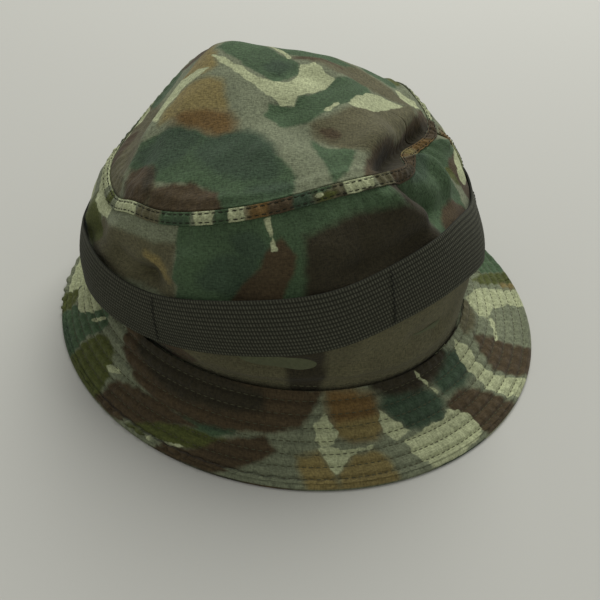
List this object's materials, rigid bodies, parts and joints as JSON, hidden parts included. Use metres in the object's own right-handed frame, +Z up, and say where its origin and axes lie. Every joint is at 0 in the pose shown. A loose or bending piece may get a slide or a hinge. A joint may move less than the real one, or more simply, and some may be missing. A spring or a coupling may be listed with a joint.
{
  "type": "bucket hat",
  "caption": "Soft cotton bucket hat with an oval crown, a stitched two-ply brim and an elastic band tacked round the crown.",
  "frame": {"origin": "middle of the brim's outer edge, on the surface that the hat stands on", "axes": "+Z up through the crown, -Y the wearer's front, +X the wearer's left"},
  "size_m": [0.266, 0.266, 0.1327],
  "materials": {
    "crown_cloth": "cotton twill, brushstroke woodland camouflage, matt",
    "brim_cloth": "cotton twill, brushstroke woodland camouflage, quilted, matt",
    "strip_cloth": "cotton twill cut as a strip, matt",
    "interlining": "stiff undyed cotton, matt",
    "lining": "dark green cotton, matt",
    "elastic": "ribbed woven elastic, dark olive, matt",
    "thread": "olive sewing thread",
    "tack_thread": "dark olive sewing thread, close zigzag"
  },
  "bodies": {
    "root": {"band_tack_1": "tack_thread", "band_tack_2": "tack_thread", "band_tack_3": "tack_thread", "band_tack_4": "tack_thread", "band_tack_5": "tack_thread", "band_tack_6": "tack_thread", "brim_interlining_back": "interlining", "brim_interlining_front": "interlining", "brim_stitch_1": "thread", "brim_stitch_2": "thread", "brim_stitch_3": "thread", "brim_stitch_4": "thread", "brim_stitch_5": "thread", "brim_stitch_6": "thread", "brim_stitch_7": "thread", "brim_under_back": "brim_cloth", "brim_under_front": "brim_cloth", "brim_upper_back": "brim_cloth", "brim_upper_front": "brim_cloth", "crown_tip": "crown_cloth", "crown_wall_back": "crown_cloth", "crown_wall_front": "crown_cloth", "elastic_band": "elastic", "root_stitch": "thread", "side_stitch_left_a": "thread", "side_stitch_left_b": "thread", "side_stitch_right_a": "thread", "side_stitch_right_b": "thread", "side_strip_left": "strip_cloth", "side_strip_right": "strip_cloth", "sweatband": "lining", "tip_stitch_lower": "thread", "tip_stitch_upper": "thread", "tip_strip": "strip_cloth"}
  },
  "joints": []
}
